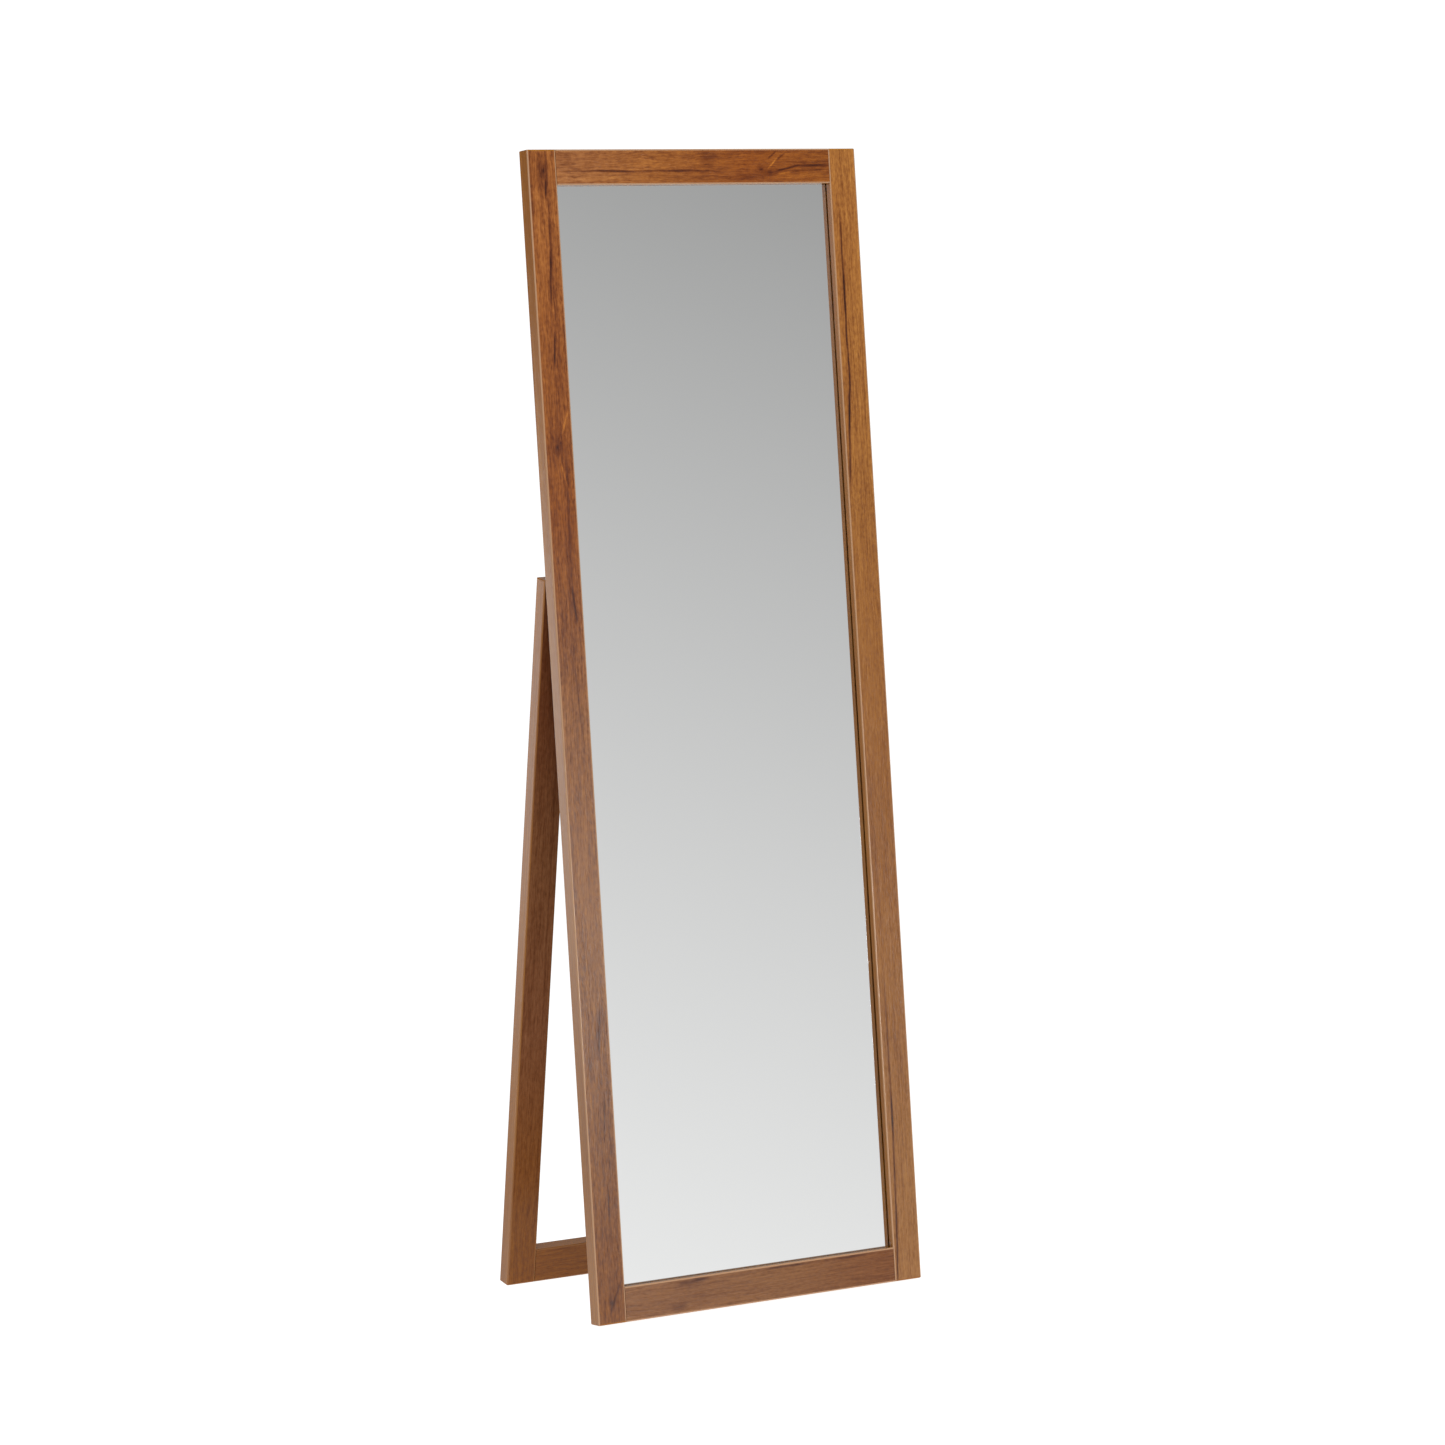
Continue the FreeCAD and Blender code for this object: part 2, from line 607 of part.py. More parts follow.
for side, word in ((-1, "left"), (1, "right")):
    frame_leaf(side, word)
    leg_leaf(side, word)
    pin(side, word)
    top_band = next(p for p in pieces if p.Label == f"{word}_leg_top_band")
    pilot_holes(side, stiles[word][0], legs[word][0], top_band)
hinge_screws()

# ---------------------------------------------------------------- checks and files
doc.recompute()
for item in doc.Objects:
    if {"Invalid", "Error"} & set(item.State):
        raise RuntimeError(f"{item.Label} failed: {item.State}")
for piece in pieces:
    if piece.Shape.isNull() or not piece.Shape.isValid() or not piece.Shape.Solids:
        raise RuntimeError(f"{piece.Label} has no valid solid")
for piece in pieces:
    piece.Shape.exportStep(f"parts/{piece.Label}.step")

whole = Part.makeCompound([piece.Shape for piece in pieces]).BoundBox
print(f"{len(pieces)} sub-parts, {whole.XLength:.1f} x {whole.YLength:.1f} x {whole.ZLength:.1f} mm")
print(f"lowest point {whole.ZMin:.4f}, y from {whole.YMin:.3f} to {whole.YMax:.3f}")
print(f"hinge pin at y = {value['pin_y']:.4f}, z = {value['pin_z']:.4f}")
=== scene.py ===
"""Looks for the leaning floor mirror: materials on the CAD parts, the silvered pane, floor, light and camera.

Everything is in metres in the row frame: +X across, the front towards -Y, +Z up. The boards are
painted in board space, the space they were drawn in before they were leaned: x across from the
middle, y from the front face to the back, z up from the foot.
"""

import json
import math

import bpy
from mathutils import Matrix, Vector


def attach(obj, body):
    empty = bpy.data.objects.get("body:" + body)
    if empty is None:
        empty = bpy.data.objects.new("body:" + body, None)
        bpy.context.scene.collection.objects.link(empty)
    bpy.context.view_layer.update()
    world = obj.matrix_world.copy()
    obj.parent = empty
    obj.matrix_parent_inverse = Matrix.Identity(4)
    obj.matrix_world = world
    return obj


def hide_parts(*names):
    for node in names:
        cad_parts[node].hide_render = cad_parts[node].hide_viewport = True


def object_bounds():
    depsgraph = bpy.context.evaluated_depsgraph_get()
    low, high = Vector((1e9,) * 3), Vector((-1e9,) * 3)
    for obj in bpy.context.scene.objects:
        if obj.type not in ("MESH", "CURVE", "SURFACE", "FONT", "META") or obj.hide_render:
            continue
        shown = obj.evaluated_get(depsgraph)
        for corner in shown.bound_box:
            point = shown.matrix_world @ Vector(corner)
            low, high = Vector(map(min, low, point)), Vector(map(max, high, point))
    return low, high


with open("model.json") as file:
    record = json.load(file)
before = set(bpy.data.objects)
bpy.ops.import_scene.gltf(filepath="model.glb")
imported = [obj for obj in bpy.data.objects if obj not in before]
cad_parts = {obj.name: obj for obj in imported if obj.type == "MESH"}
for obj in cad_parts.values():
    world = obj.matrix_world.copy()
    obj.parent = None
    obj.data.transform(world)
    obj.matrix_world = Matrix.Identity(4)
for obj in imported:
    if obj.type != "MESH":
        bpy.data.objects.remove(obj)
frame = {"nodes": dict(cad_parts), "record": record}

cad_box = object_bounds()


# ---------------------------------------------------------------- board space
def board_space(foot_mount, lowest_node):
    """The matrix from board space to the row frame, from the foot mount's normal and the board it names."""
    mount = next(m for m in frame["record"]["mounts"] if m["name"] == foot_mount)
    up = -Vector(mount["axis"]).normalized()
    across = Vector((1, 0, 0))
    back = up.cross(across)
    turn = Matrix((across, back, up)).transposed()
    corners = [turn.transposed() @ v.co for v in frame["nodes"][lowest_node].data.vertices]
    origin = turn @ Vector((0, min(c.y for c in corners), min(c.z for c in corners)))
    return Matrix.Translation(origin) @ turn.to_4x4()


SPACES = {
    "mirror_frame": board_space("frame_foot_face", "left_stile_outer_band"),
    "stand": board_space("stand_foot_face", "left_leg_outer_band"),
}


def board_box(body, node):
    """Lowest and highest corner of a CAD node in its body's board space."""
    inverse = SPACES[body].inverted()
    corners = [inverse @ v.co for v in frame["nodes"][node].data.vertices]
    low = Vector([min(c[i] for c in corners) for i in range(3)])
    high = Vector([max(c[i] for c in corners) for i in range(3)])
    return low, high


DEPTH = board_box("mirror_frame", "left_stile_outer_band")[1].y  # the boards' thickness


# ---------------------------------------------------------------- node arithmetic
class Value:
    """A number that varies over a surface: a node socket that takes part in ordinary arithmetic."""

    def __init__(self, tree, socket):
        self.tree, self.socket = tree, socket

    def math(self, operation, *others, first=None):
        node = self.tree.nodes.new("ShaderNodeMath")
        node.operation = operation
        for place, item in enumerate([self if first is None else first, *others]):
            put(self.tree, item, node.inputs[place])
        return Value(self.tree, node.outputs[0])

    def __add__(self, other):
        return self.math("ADD", other)

    def __sub__(self, other):
        return self.math("SUBTRACT", other)

    def __rsub__(self, other):
        return self.math("SUBTRACT", self, first=other)

    def __neg__(self):
        return self * -1.0

    def __mul__(self, other):
        return self.math("MULTIPLY", other)

    def __truediv__(self, other):
        return self.math("DIVIDE", other)

    def __pow__(self, other):
        return self.math("POWER", other)

    __radd__, __rmul__ = __add__, __mul__

    def exp(self):
        return self.math("EXPONENT")

    def largest(self, other):
        return self.math("MAXIMUM", other)

    def smallest(self, other):
        return self.math("MINIMUM", other)

    def step(self, start, end, low=0.0, high=1.0):
        """Goes smoothly from low, where this value is start, to high, where it is end."""
        node = self.tree.nodes.new("ShaderNodeMapRange")
        node.interpolation_type = "SMOOTHSTEP"
        for place, item in enumerate([self, start, end, low, high]):
            put(self.tree, item, node.inputs[place])
        return Value(self.tree, node.outputs[0])


def put(tree, item, socket):
    """Links a Value or a socket to an input, or sets the input to a constant."""
    if isinstance(item, Value):
        tree.links.new(item.socket, socket)
    elif isinstance(item, bpy.types.NodeSocket):
        tree.links.new(item, socket)
    else:
        socket.default_value = item


def vector_of(tree, x, y, z):
    node = tree.nodes.new("ShaderNodeCombineXYZ")
    for place, item in enumerate((x, y, z)):
        put(tree, item, node.inputs[place])
    return node.outputs[0]


def split(tree, vector):
    node = tree.nodes.new("ShaderNodeSeparateXYZ")
    tree.links.new(vector, node.inputs[0])
    return [Value(tree, socket) for socket in node.outputs]


def noise(tree, place, per_metre, seed=0.0, detail=2.0, roughness=0.5):
    """Noise about 0, most of it within 0.25, with its own number of features per metre along each axis."""
    node = tree.nodes.new("ShaderNodeTexNoise")
    node.inputs["Scale"].default_value = 1.0
    node.inputs["Detail"].default_value = detail
    node.inputs["Roughness"].default_value = roughness
    scaled = [axis * rate + seed * (3.7 + 1.9 * i) for i, (axis, rate) in enumerate(zip(place, per_metre))]
    tree.links.new(vector_of(tree, *scaled), node.inputs["Vector"])
    return Value(tree, node.outputs["Fac"]) - 0.5


def ramp(tree, factor, stops):
    """A colour that follows factor through the (position, colour) stops."""
    node = tree.nodes.new("ShaderNodeValToRGB")
    put(tree, factor, node.inputs[0])
    elements = node.color_ramp.elements
    while len(elements) < len(stops):
        elements.new(1.0)
    for element, (position, colour) in zip(elements, stops):
        element.position = position
        element.color = (*colour, 1.0)
    return node.outputs[0]


def blend(tree, factor, colour_a, colour_b):
    """colour_a where factor is 0, colour_b where it is 1."""
    node = tree.nodes.new("ShaderNodeMix")
    node.data_type = "RGBA"
    put(tree, factor, node.inputs[0])
    for item, socket in ((colour_a, node.inputs[6]), (colour_b, node.inputs[7])):
        put(tree, (*item, 1.0) if isinstance(item, tuple) else item, socket)
    return node.outputs[2]


def new_material(name, **constants):
    """A material with one Principled shader, and the constants set on its own sockets."""
    material = bpy.data.materials.new(name)
    material.use_nodes = True
    shader = next(n for n in material.node_tree.nodes if n.type == "BSDF_PRINCIPLED")
    for socket, number in constants.items():
        shader.inputs[socket.replace("_", " ")].default_value = number
    return material, material.node_tree, shader


def board_place(tree, body):
    """The shaded point in board space, as three Values."""
    source = tree.nodes.new("ShaderNodeTexCoord")
    mapping = tree.nodes.new("ShaderNodeMapping")
    mapping.vector_type = "TEXTURE"
    mapping.inputs["Location"].default_value = SPACES[body].to_translation()
    mapping.inputs["Rotation"].default_value = SPACES[body].to_euler()
    tree.links.new(source.outputs["Object"], mapping.inputs["Vector"])
    return split(tree, mapping.outputs[0])


def bump(tree, shader, height, depth):
    """Raises the surface by height times depth, in metres."""
    node = tree.nodes.new("ShaderNodeBump")
    node.inputs["Distance"].default_value = depth
    put(tree, height, node.inputs["Height"])
    tree.links.new(node.outputs[0], shader.inputs["Normal"])


def paint(material, *nodes):
    """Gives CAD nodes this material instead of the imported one."""
    for name in nodes:
        slots = frame["nodes"][name].data.materials
        slots.clear()
        slots.append(material)


# ---------------------------------------------------------------- printed wood
PALE_CORE_AND_HIGHLIGHT = (0.37, 0.21, 0.115)  # the edge bands' pale body where the rounding cuts through the print, standing also for a painted highlight along the rounded edges
BAND_IOR = {"mirror_frame": 1.4, "stand": 1.34}
BAND_ROUNDED = (0.0018, 0.0008)  # how near an edge the pale body and its painted highlight start to show, and show fully
PALE_AND_HIGHLIGHT_STRENGTH = {"mirror_frame": 0.9, "stand": 0.2}  # how strongly the pale body and its painted highlight show
FOIL_IOR = 1.33
FOIL_BUMP, BAND_BUMP, WOOD_BUMP = 0.0002, 0.0001, 0.0003
HIGHLIGHT_CUT = 0.35  # share taken off the print's light tones
PORE_DEPTH, STRAY_DEPTH = 0.35, 0.22  # how much darker pores and stray streaks are
STAIN = (1.7, 2.3, 2.7)  # how fast red, green and blue sink where the print gets darker


def streak(across, along, start, end, width):
    """How much of a long mark covers the point. It is spindle-shaped, start and end are (across, along)."""
    middle_across, middle_along = (start[0] + end[0]) / 2, (start[1] + end[1]) / 2
    lean = (end[0] - start[0]) / (end[1] - start[1])
    off = (across - middle_across - (along - middle_along) * lean) / width
    run = (along - middle_along) / (abs(end[1] - start[1]) / 2)
    return (-(off * off + run * run * run * run)).exp()


def stained(tree, base, tone):
    """The base colour, darker and redder for tone below 0, lighter and yellower above."""
    channels = [value * (tone * rate).exp() for value, rate in zip(split(tree, base), STAIN)]
    return vector_of(tree, *channels)


def grain(tree, across, depth, along, seed, knots=(), flame=0.0):
    """Tone of the printed grain, about 0, and its fine fibres, also about 0."""
    wander = noise(tree, (across, depth, along), (14, 14, 5), seed, 2.0) * 0.012
    if flame:
        wander = wander + noise(tree, (across, depth, along), (60, 60, 26), seed + 7, 2.0) * flame
    for (knot_across, knot_along), size in knots:
        off, run = across - knot_across, along - knot_along
        near = (-(off * off / size**2 + run * run / (2.2 * size) ** 2)).exp()
        wander = wander - off * near * 0.75
    place = (across + wander, depth, along)
    streaks = noise(tree, place, (230, 120, 5.0), seed + 1, 3.0, 0.6)
    threads = noise(tree, place, (430, 300, 17), seed + 2, 2.0, 0.55)
    fibres = noise(tree, place, (900, 500, 45), seed + 8, 2.0, 0.6)
    patches = noise(tree, place, (32, 30, 3.2), seed + 3, 2.0)
    mottle = noise(tree, place, (280, 220, 150), seed + 4, 2.0)
    tone = streaks * 0.65 + threads * 0.8 + fibres * 0.9 + patches * 0.45 + mottle * 0.9
    pores = noise(tree, place, (700, 500, 55), seed + 9, 1.0).step(0.13, 0.26)
    return (tone - tone.largest(0.0) * HIGHLIGHT_CUT) - pores * PORE_DEPTH, fibres


def lengthwise(tree, along, stops):
    """A colour that follows the board's length through the (place, colour) stops."""
    first, last = stops[0][0], stops[-1][0]
    even = [((place - first) / (last - first), colour) for place, colour in stops]
    return ramp(tree, (along - first) / (last - first), even)


def board_material(name, body, along_axis, seed, tints, contrast=1.0, knots=(), marks=(), flame=0.0):
    """Satin wood-print foil, with its grain along board-space x or z and the marks that one board has.

    The tints are (along, colour). A knot is ((across, along), size). A mark is (depth, start, end, width)
    with ends (across, along), and is darker than the print around it, or lighter where its depth is below 0.
    """
    material, tree, shader = new_material(name, IOR=FOIL_IOR)
    x, y, z = board_place(tree, body)
    across, along = (z, x) if along_axis == "x" else (x, z)
    tone, fibres = grain(tree, across, y, along, seed, knots, flame)

    # Thin dark streaks that any such print has, in no special place.
    stray = noise(tree, (across, y, along), (150, 80, 3.0), seed + 5, 1.0).step(0.16, 0.24)
    tone = tone - stray * STRAY_DEPTH
    if isinstance(contrast, tuple):
        contrast = along.step(*contrast)
    tone = tone * contrast

    ragged = noise(tree, (across, y, along), (700, 400, 60), seed + 6, 2.0) * 1.8 + 1.0
    ragged = ragged * y.step(DEPTH * 0.2, DEPTH * 0.1)
    for (knot_across, knot_along), size in knots:
        off, run = (across - knot_across) / size, (along - knot_along) / (1.5 * size)
        out = off * off + run * run
        tone = tone - ragged * ((out * -1.0).exp() * 0.22 + (out * -7.0).exp() * 0.55)
    for depth, start, end, width in marks:
        tone = tone - streak(across, along, start, end, width) * ragged * depth
    colour = stained(tree, lengthwise(tree, along, tints), tone)

    tree.links.new(colour, shader.inputs["Base Color"])
    put(tree, fibres * 0.20 + 0.28, shader.inputs["Roughness"])
    bump(tree, shader, fibres, FOIL_BUMP)
    return material


def band_material(name, body, along_axis, seed, tints, pale_and_highlight):
    """Edge band: the same print in finer stripes, and its paler body, with a painted highlight, showing where
    the edges are rounded.
    """
    material, tree, shader = new_material(name, IOR=BAND_IOR[body])
    x, y, z = board_place(tree, body)
    across, along = (z, x) if along_axis == "x" else (x, z)
    stripes = noise(tree, (across, y, along), (90, 620, 3.0), seed, 3.0, 0.6)
    fibres = noise(tree, (across, y, along), (300, 1500, 20), seed + 1, 2.0)
    patches = noise(tree, (across, y, along), (20, 40, 2.5), seed + 2)
    colour = stained(tree, lengthwise(tree, along, tints), stripes * 0.6 + fibres * 0.4 + patches * 0.3)
    from_edge = y.smallest(DEPTH - y)
    edge = (from_edge + fibres * 0.0005).step(*BAND_ROUNDED)
    # painted highlight: the pale body is blended in along the rounded edges, also standing for their shine
    colour = blend(tree, edge * pale_and_highlight, colour, PALE_CORE_AND_HIGHLIGHT)
    tree.links.new(colour, shader.inputs["Base Color"])
    put(tree, stripes * 0.08 + 0.17, shader.inputs["Roughness"])
    bump(tree, shader, fibres, BAND_BUMP)
    return material


# Base colours of the print at places along each board. The leg's stop near its top is darker, painted shade
# where the leg stands close behind the frame.
TINTS = {
    "left_stile": (
        (0.08, (0.147, 0.0461, 0.00726)),
        (0.45, (0.172, 0.0597, 0.00853)),
        (0.8, (0.19, 0.0663, 0.0153)),
        (1.05, (0.176, 0.0447, 0.004)),
        (1.45, (0.259, 0.0814, 0.015)),
    ),
    "right_stile": (
        (0.08, (0.224, 0.0934, 0.0254)),
        (0.6, (0.211, 0.0758, 0.0128)),
        (1.05, (0.253, 0.0925, 0.0149)),
        (1.45, (0.299, 0.111, 0.0204)),
    ),
    "top_rail": (
        (-0.19, (0.258, 0.0916, 0.0252)),
        (-0.05, (0.285, 0.0931, 0.0149)),
        (0.08, (0.22, 0.0563, 0.00484)),
        (0.19, (0.215, 0.0591, 0.00565)),
    ),
    "bottom_rail": (
        (-0.19, (0.162, 0.0605, 0.0165)),
        (0.03, (0.163, 0.0623, 0.0172)),
        (0.19, (0.131, 0.0402, 0.00789)),
    ),
    "left_leg": (
        (0.05, (0.192, 0.0595, 0.004)),
        (0.35, (0.218, 0.0826, 0.0344)),
        (0.6, (0.215, 0.0860, 0.034)),
        # painted shade: darker near the top, where the leg stands close behind the frame
        (0.8, (0.150, 0.0480, 0.0175)),
    ),
    "side": ((0.08, (0.255, 0.0915, 0.006)), (1.45, (0.293, 0.110, 0.0230))),
    "leg_side": ((0.08, (0.250, 0.088, 0.010)), (0.90, (0.264, 0.092, 0.012))),
}


def paint_boards():
    paint(
        board_material(
            "print_left_stile", "mirror_frame", "z", 3.1, TINTS["left_stile"], (0.65, 0.95, 0.85, 0.95),
            knots=[
                ((-0.2285, 0.028), 0.006),
                ((-0.2318, 1.144), 0.0035),
                ((-0.2262, 1.150), 0.0025),
                ((-0.2276, 1.502), 0.006),
            ],
            marks=[
                (0.40, (-0.2320, 0.014), (-0.2120, 0.058), 0.0014),
                (0.50, (-0.2247, 0.136), (-0.2243, 0.178), 0.0012),
                (0.50, (-0.2250, 0.238), (-0.2213, 0.298), 0.0012),
                (0.28, (-0.2300, 0.350), (-0.2200, 0.412), 0.0045),
                (0.40, (-0.2245, 0.355), (-0.2205, 0.408), 0.0014),
                (0.40, (-0.2205, 0.770), (-0.2255, 0.856), 0.0013),
                (0.25, (-0.2240, 0.925), (-0.2240, 1.030), 0.0045),
                (0.80, (-0.2180, 0.914), (-0.2225, 0.958), 0.0013),
                (0.35, (-0.2225, 1.015), (-0.2195, 1.130), 0.0022),
                (0.16, (-0.2315, 1.124), (-0.2315, 1.166), 0.0115),
                (-0.35, (-0.2180, 1.084), (-0.2300, 1.132), 0.0014),
                (-0.35, (-0.2240, 1.160), (-0.2130, 1.190), 0.0014),
                (0.95, (-0.2284, 1.248), (-0.2252, 1.292), 0.0012),
                (1.00, (-0.2278, 1.330), (-0.2243, 1.394), 0.0013),
                (0.35, (-0.2245, 1.380), (-0.2235, 1.440), 0.0015),
                (0.40, (-0.2300, 1.474), (-0.2300, 1.526), 0.0080),
                (0.95, (-0.2262, 1.468), (-0.2250, 1.490), 0.0012),
            ],
            flame=0.002,
        ),
        "left_stile",
    )
    paint(
        board_material(
            "print_right_stile", "mirror_frame", "z", 8.7, TINTS["right_stile"], (0.85, 1.1, 0.5, 0.75),
            marks=[
                (0.90, (0.2122, 0.000), (0.2163, 0.100), 0.0013),
                (0.68, (0.2160, 0.090), (0.2186, 0.220), 0.0012),
                (1.05, (0.2185, 0.200), (0.2188, 0.250), 0.0013),
                (0.45, (0.2186, 0.245), (0.2187, 0.400), 0.0014),
                (0.75, (0.2125, 1.080), (0.2165, 1.165), 0.0014),
                (1.30, (0.2158, 1.150), (0.2200, 1.210), 0.0014),
                (0.90, (0.2208, 1.205), (0.2210, 1.262), 0.0012),
                (1.12, (0.2200, 1.262), (0.2202, 1.300), 0.0013),
                (1.30, (0.2206, 1.298), (0.2207, 1.360), 0.0014),
                (0.60, (0.2206, 1.350), (0.2205, 1.440), 0.0014),
            ],
        ),
        "right_stile",
    )
    paint(
        board_material(
            "print_top_rail", "mirror_frame", "x", 14.3, TINTS["top_rail"], 0.72,
            knots=[((1.4985, 0.116), 0.007), ((1.5025, 0.102), 0.005)],
            marks=[
                (0.45, (1.5015, -0.200), (1.5015, -0.130), 0.0011),
                (0.75, (1.5020, -0.150), (1.5008, -0.094), 0.0013),
                (0.35, (1.5012, -0.090), (1.5016, -0.040), 0.0011),
                (0.70, (1.5016, -0.046), (1.5012, 0.004), 0.0013),
                (0.35, (1.5012, 0.000), (1.5006, 0.040), 0.0011),
                (0.15, (1.4920, -0.080), (1.4920, 0.080), 0.0090),
                (0.25, (1.4915, 0.060), (1.4950, 0.110), 0.0050),
                (0.25, (1.5180, 0.008), (1.5180, 0.034), 0.0100),
                (0.75, (1.5000, 0.124), (1.5075, 0.160), 0.0013),
                (0.80, (1.5070, 0.155), (1.5080, 0.210), 0.0017),
                (0.30, (1.4990, 0.130), (1.5030, 0.210), 0.0013),
                (0.30, (1.5110, 0.150), (1.5130, 0.210), 0.0013),
                (0.45, (1.5175, 0.114), (1.5260, 0.126), 0.0013),
                (0.40, (1.5150, 0.126), (1.5240, 0.140), 0.0013),
                (-0.35, (1.5030, 0.112), (1.5180, 0.128), 0.0015),
                (-0.25, (1.4960, 0.128), (1.5000, 0.150), 0.0013),
            ],
            flame=0.008,
        ),
        "top_rail",
    )
    paint(
        board_material(
            "print_bottom_rail", "mirror_frame", "x", 21.9, TINTS["bottom_rail"], 0.55,
            marks=[
                (0.35, (0.0395, -0.126), (0.0400, -0.088), 0.0035),
                (0.50, (0.0428, -0.105), (0.0420, -0.080), 0.0013),
                (0.45, (0.0425, 0.008), (0.0425, 0.068), 0.0013),
                (0.40, (0.0415, 0.118), (0.0428, 0.164), 0.0013),
                (0.25, (0.0100, -0.140), (0.0100, -0.118), 0.0050),
            ],
        ),
        "bottom_rail",
    )
    leg, rail = TINTS["left_leg"], tuple((place / 2, colour) for place, colour in TINTS["left_leg"])
    for number, (name, along_axis, tints) in enumerate(
        (
            ("left_leg", "z", leg), ("right_leg", "z", leg),
            ("stand_top_rail", "x", rail), ("stand_bottom_rail", "x", rail),
        )
    ):
        paint(board_material(f"print_{name}", "stand", along_axis, 31.3 + 7.7 * number, tints, 0.5), name)


def paint_bands():
    """Bands on long edges show a pale line, their paler body with a painted highlight, the ones on the boards'
    ends none.
    """
    uprights = {"mirror_frame": ("left_stile", "right_stile"), "stand": ("left_leg", "right_leg")}
    rails = {"mirror_frame": ("top_rail", "bottom_rail"), "stand": ("stand_top_rail", "stand_bottom_rail")}
    for number, body in enumerate(SPACES):
        tints = TINTS["side" if body == "mirror_frame" else "leg_side"]
        seed = 51.7 + 9.1 * number
        pale = PALE_AND_HIGHLIGHT_STRENGTH[body]
        side = band_material(f"band_side_{body}", body, "z", seed, tints, pale)
        rail = band_material(f"band_rail_{body}", body, "x", seed + 3, tints, pale)
        end = band_material(f"band_end_{body}", body, "x", seed + 5, tints, 0.0)
        paint(side, *(f"{board}_{edge}_band" for board in uprights[body] for edge in ("outer", "inner")))
        paint(rail, *(f"{board}_{edge}_band" for board in rails[body] for edge in ("upper", "lower")))
        paint(end, *(f"{board}_{edge}_band" for board in uprights[body] for edge in ("top", "foot")))


# ---------------------------------------------------------------- back, beads and metal
def paint_back():
    material, tree, shader = new_material("hardboard", IOR=1.5)
    place = board_place(tree, "mirror_frame")
    clouds = noise(tree, place, (9, 9, 9), 2.0, 4.0)
    flecks = noise(tree, place, (600, 600, 600), 3.0, 2.0)
    colour = ramp(
        tree,
        clouds * 0.5 + flecks * 1.3 + 0.5,
        ((0.0, (0.10, 0.055, 0.028)), (0.5, (0.19, 0.11, 0.058)), (1.0, (0.30, 0.19, 0.11))),
    )
    tree.links.new(colour, shader.inputs["Base Color"])
    put(tree, flecks * 0.3 + 0.55, shader.inputs["Roughness"])
    bump(tree, shader, flecks, WOOD_BUMP)
    paint(material, "backing_panel")


def plain_wood(name, body, along_axis, seed, stops):
    """Unprinted wood with fine grain along one axis."""
    material, tree, shader = new_material(name, IOR=1.5)
    place = board_place(tree, body)
    rates = (35, 500, 500) if along_axis == "x" else (500, 500, 35)
    broad = (8, 120, 120) if along_axis == "x" else (120, 120, 8)
    fibres = noise(tree, place, rates, seed, 3.0)
    bands = noise(tree, place, broad, seed + 1, 2.0)
    tree.links.new(ramp(tree, fibres * 0.9 + bands * 0.9 + 0.5, stops), shader.inputs["Base Color"])
    put(tree, fibres * 0.3 + 0.5, shader.inputs["Roughness"])
    bump(tree, shader, fibres, WOOD_BUMP)
    return material


BEAD_STOPS = ((0.0, (0.15, 0.06, 0.02)), (0.5, (0.27, 0.12, 0.045)), (1.0, (0.40, 0.20, 0.085)))
METAL_BUMP = 0.00004
BEECH_STOPS = ((0.0, (0.40, 0.24, 0.12)), (0.5, (0.58, 0.38, 0.21)), (1.0, (0.72, 0.52, 0.32)))


def metal(name, body, colour, roughness, brushed):
    """Steel with fine lines along the pins if brushed, or a clouded plating."""
    material, tree, shader = new_material(name, Metallic=1.0)
    place = board_place(tree, body)
    lines = noise(tree, place, (25, 2500, 2500) if brushed else (900, 900, 900), 1.0, 2.0)
    clouds = noise(tree, place, (120, 120, 120), 5.0, 2.0)
    dark = tuple(0.72 * channel for channel in colour)
    light = tuple(min(1.0, 1.12 * channel) for channel in colour)
    shade = ramp(tree, lines * 0.8 + clouds * 0.8 + 0.5, ((0.0, dark), (1.0, light)))
    tree.links.new(shade, shader.inputs["Base Color"])
    put(tree, lines * 0.3 + clouds * 0.2 + roughness, shader.inputs["Roughness"])
    bump(tree, shader, lines, METAL_BUMP)
    return material


def paint_small_parts():
    paint(plain_wood("bead_wood_upright", "mirror_frame", "z", 4.0, BEAD_STOPS), "left_bead", "right_bead")
    paint(plain_wood("bead_wood_level", "mirror_frame", "x", 6.0, BEAD_STOPS), "top_bead", "bottom_bead")
    for body, node in (("mirror_frame", "frame_dowels"), ("stand", "stand_dowels")):
        paint(plain_wood(f"beech_{body}", body, "x", 8.0, BEECH_STOPS), node)
    steel, zinc = (0.56, 0.56, 0.55), (0.62, 0.60, 0.55)
    paint(
        metal("steel_frame_leaf", "mirror_frame", steel, 0.34, True),
        "left_hinge_frame_leaf", "right_hinge_frame_leaf",
    )
    paint(
        metal("steel_leg_leaf", "stand", steel, 0.34, True),
        "left_hinge_leg_leaf", "right_hinge_leg_leaf", "left_hinge_pin", "right_hinge_pin",
    )
    paint(metal("zinc_frame", "mirror_frame", zinc, 0.30, False), "hinge_frame_screws", "bead_brads")
    paint(metal("zinc_stand", "stand", zinc, 0.30, False), "hinge_leg_screws")


# ---------------------------------------------------------------- the mirror
GLASS_IOR = 1.52
GROUND_EDGE = 0.0004  # the pane's ground edge


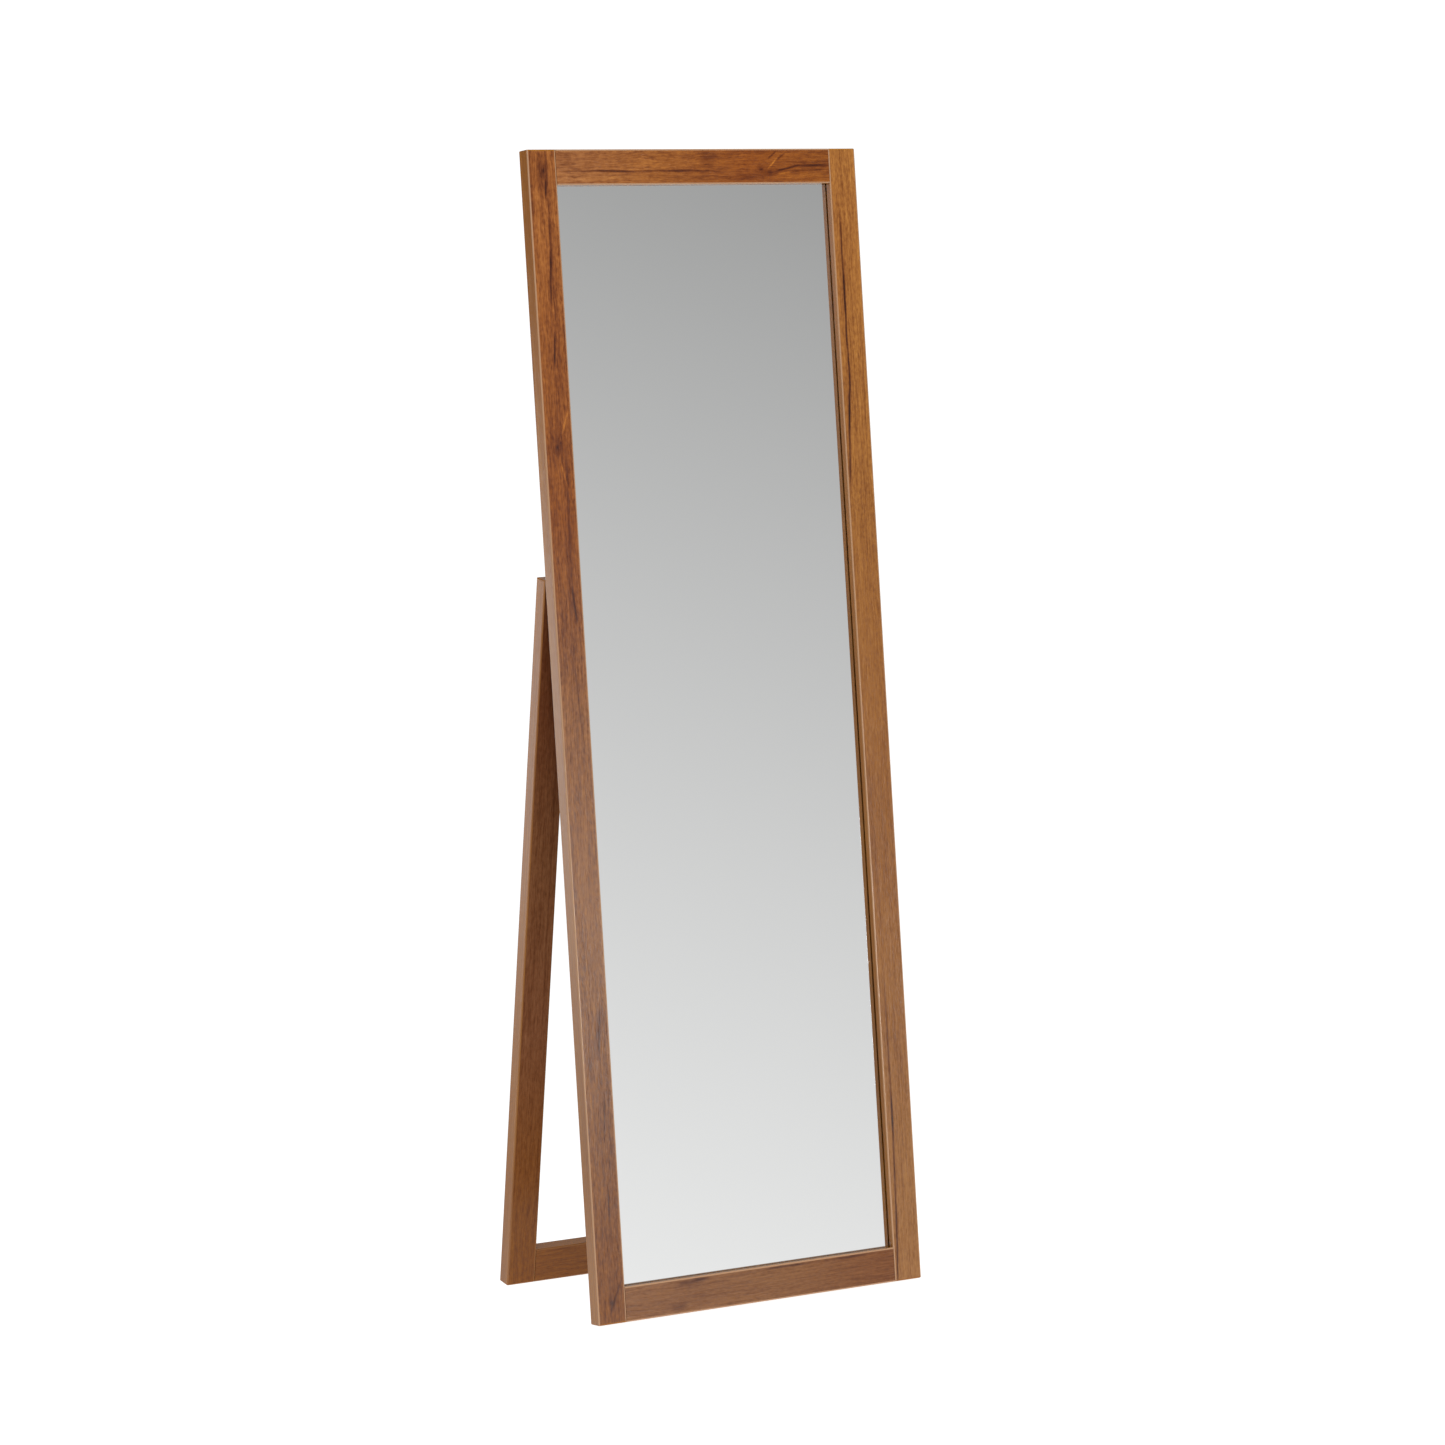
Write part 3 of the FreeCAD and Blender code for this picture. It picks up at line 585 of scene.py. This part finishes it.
def mirror_pane():
    """The silvered pane. Its front lies where the silver behind the glass appears to an eye in front."""
    low, high = board_box("mirror_frame", "mirror_glass")
    front = low.y + (high.y - low.y) / GLASS_IOR
    corners = [
        Vector((x, y, z)) for x in (low.x, high.x) for y in (front, high.y) for z in (low.z, high.z)
    ]
    faces = [(0, 1, 3, 2), (4, 6, 7, 5), (0, 4, 5, 1), (2, 3, 7, 6), (0, 2, 6, 4), (1, 5, 7, 3)]
    mesh = bpy.data.meshes.new("mirror_pane")
    mesh.from_pydata([SPACES["mirror_frame"] @ c for c in corners], [], faces)
    mesh.update()
    pane = bpy.data.objects.new("mirror_pane", mesh)
    bpy.context.scene.collection.objects.link(pane)
    edge = pane.modifiers.new("ground_edge", "BEVEL")
    edge.width, edge.segments = GROUND_EDGE, 2

    material, tree, shader = new_material("silvered_glass", Metallic=1.0)
    place = board_place(tree, "mirror_frame")
    haze = noise(tree, place, (5, 5, 5), 9.0, 3.0)
    shade = ramp(tree, haze * 0.6 + 0.5, ((0.0, (0.815, 0.822, 0.818)), (1.0, (0.830, 0.836, 0.832))))
    tree.links.new(shade, shader.inputs["Base Color"])
    put(tree, haze * 0.004 + 0.004, shader.inputs["Roughness"])
    mesh.materials.append(material)
    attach(pane, "mirror_frame")
    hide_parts("mirror_glass")


# ---------------------------------------------------------------- floor, light and camera
FLOOR_RADIUS = 6.0
FLOOR_SOLID, FLOOR_FADED = 0.2, 0.9  # where the floor starts to melt into the backdrop, and where it is gone
FLOOR_GREY, FLOOR_GLOW = 0.35, 0.92  # the floor's base colour and its own light
FLOOR_STEPS = 96


def white_floor():
    mesh = bpy.data.meshes.new("floor")
    turns = [math.tau * i / FLOOR_STEPS for i in range(FLOOR_STEPS)]
    rim = [(FLOOR_RADIUS * math.cos(turn), FLOOR_RADIUS * math.sin(turn), 0.0) for turn in turns]
    mesh.from_pydata(rim, [], [tuple(range(FLOOR_STEPS))])
    floor = bpy.data.objects.new("floor", mesh)
    bpy.context.scene.collection.objects.link(floor)
    material, tree, shader = new_material("white_floor", Roughness=0.9)
    shader.inputs["Base Color"].default_value = (FLOOR_GREY, FLOOR_GREY, FLOOR_GREY, 1.0)
    shader.inputs["Emission Color"].default_value = (1.0, 1.0, 1.0, 1.0)
    shader.inputs["Emission Strength"].default_value = FLOOR_GLOW
    source = tree.nodes.new("ShaderNodeTexCoord")
    x, y, _ = split(tree, source.outputs["Object"])
    reach = (x * x + y * y) ** 0.5
    put(tree, reach.step(FLOOR_SOLID, FLOOR_FADED, 1.0, 0.0), shader.inputs["Alpha"])
    mesh.materials.append(material)


# Directions are unit vectors from the object, so a height is the sine of an elevation.
ROOM_DARK, ROOM_WHITE = 0.30, 0.88  # brightness above and below eye level
CARD_AZIMUTH = math.radians(30)  # the card stands where the mirror looks, this far right of straight ahead
CARD_LEVEL = 0.855  # its brightness at eye level
CARD_UP, CARD_SIDE = 2.14, 1.02  # how fast it falls upwards and sideways
SWEEP_AZIMUTH = math.radians(28)  # the white sweep behind the left side, this far left of straight back
SWEEP_DIM, SWEEP_BRIGHT, SWEEP_TOP = 0.85, 2.9, 0.03  # low down, at its brightest, and above
FILL_AZIMUTH = math.radians(33)  # a bright card high in front, this far left of straight ahead
FILL_BRIGHT, FILL_EDGE = 1.8, (0.14, 0.19)  # its brightness, and the heights between which it begins
OVERHEAD, OVERHEAD_EDGE = 1.1, (0.35, 0.75)  # the same for the bright ceiling
BACKDROP = 1.1  # what the room looks like behind the object


def studio():
    """Room light: white below eye level, dim above, two cards in front, a sweep behind the left, a ceiling."""
    world = bpy.data.worlds.new("studio")
    bpy.context.scene.world = world
    world.use_nodes = True
    tree = world.node_tree
    tree.nodes.clear()
    source = tree.nodes.new("ShaderNodeTexCoord")
    x, y, z = split(tree, source.outputs["Generated"])
    level = z.step(-0.05, 0.02, ROOM_WHITE, ROOM_DARK)

    ahead = x * math.sin(CARD_AZIMUTH) - y * math.cos(CARD_AZIMUTH)
    aside = x * math.cos(CARD_AZIMUTH) + y * math.sin(CARD_AZIMUTH)
    card = (CARD_LEVEL - z * CARD_UP - aside * CARD_SIDE).largest(ROOM_DARK).smallest(ROOM_WHITE * 1.12)
    level = level + (card - level) * ahead.step(0.35, 0.8)

    behind = y * math.cos(SWEEP_AZIMUTH) - x * math.sin(SWEEP_AZIMUTH)
    sweep = z.step(-0.21, -0.13, SWEEP_DIM, SWEEP_BRIGHT) * z.step(-0.105, -0.06, 1.0, 0.0)
    level = level + (sweep.largest(SWEEP_TOP) - level) * behind.step(0.65, 0.85)

    towards_fill = -x * math.sin(FILL_AZIMUTH) - y * math.cos(FILL_AZIMUTH)
    fill = towards_fill.step(0.8, 0.93) * z.step(*FILL_EDGE)
    level = level + (FILL_BRIGHT - level) * fill + (OVERHEAD - level) * z.step(*OVERHEAD_EDGE)

    ray = tree.nodes.new("ShaderNodeLightPath")
    seen = Value(tree, ray.outputs["Is Camera Ray"])
    level = level + (BACKDROP - level) * seen
    background = tree.nodes.new("ShaderNodeBackground")
    background.inputs["Color"].default_value = (1.0, 1.0, 1.0, 1.0)
    put(tree, level, background.inputs["Strength"])
    output = tree.nodes.new("ShaderNodeOutputWorld")
    tree.links.new(background.outputs[0], output.inputs[0])


def soft_light(name, place, size, watts, in_gloss):
    """A square softbox aimed at the mirror's middle, which shows in glossy surfaces or doesn't."""
    data = bpy.data.lights.new(name, "AREA")
    data.shape, data.size, data.energy = "SQUARE", size, watts
    light = bpy.data.objects.new(name, data)
    bpy.context.scene.collection.objects.link(light)
    light.location = place
    middle = (cad_box[0] + cad_box[1]) / 2
    light.rotation_euler = (middle - light.location).to_track_quat("-Z", "Y").to_euler()
    light.visible_glossy = in_gloss


CAMERA_PLACE = (-3.0541, -5.2099, 1.5548)
CAMERA_TURN, CAMERA_TILT = math.radians(30.53), math.radians(-7.47)
CAMERA_LENS = 113.81  # for the default 36 mm sensor


def camera():
    data = bpy.data.cameras.new("camera")
    data.lens = CAMERA_LENS
    data.clip_end = 200
    eye = bpy.data.objects.new("camera", data)
    bpy.context.scene.collection.objects.link(eye)
    eye.location = CAMERA_PLACE
    eye.rotation_euler = (math.pi / 2 + CAMERA_TILT, 0, -CAMERA_TURN)
    bpy.context.scene.camera = eye


camera()
white_floor()
studio()
soft_light("key", (-2.2, -3.2, 2.6), 2.0, 35.0, False)
soft_light("low_box", (1.46, -4.80, 0.64), 0.6, 62.0, True)
bpy.context.scene.view_settings.view_transform = "Standard"

paint_boards()
paint_bands()
paint_back()
paint_small_parts()
mirror_pane()
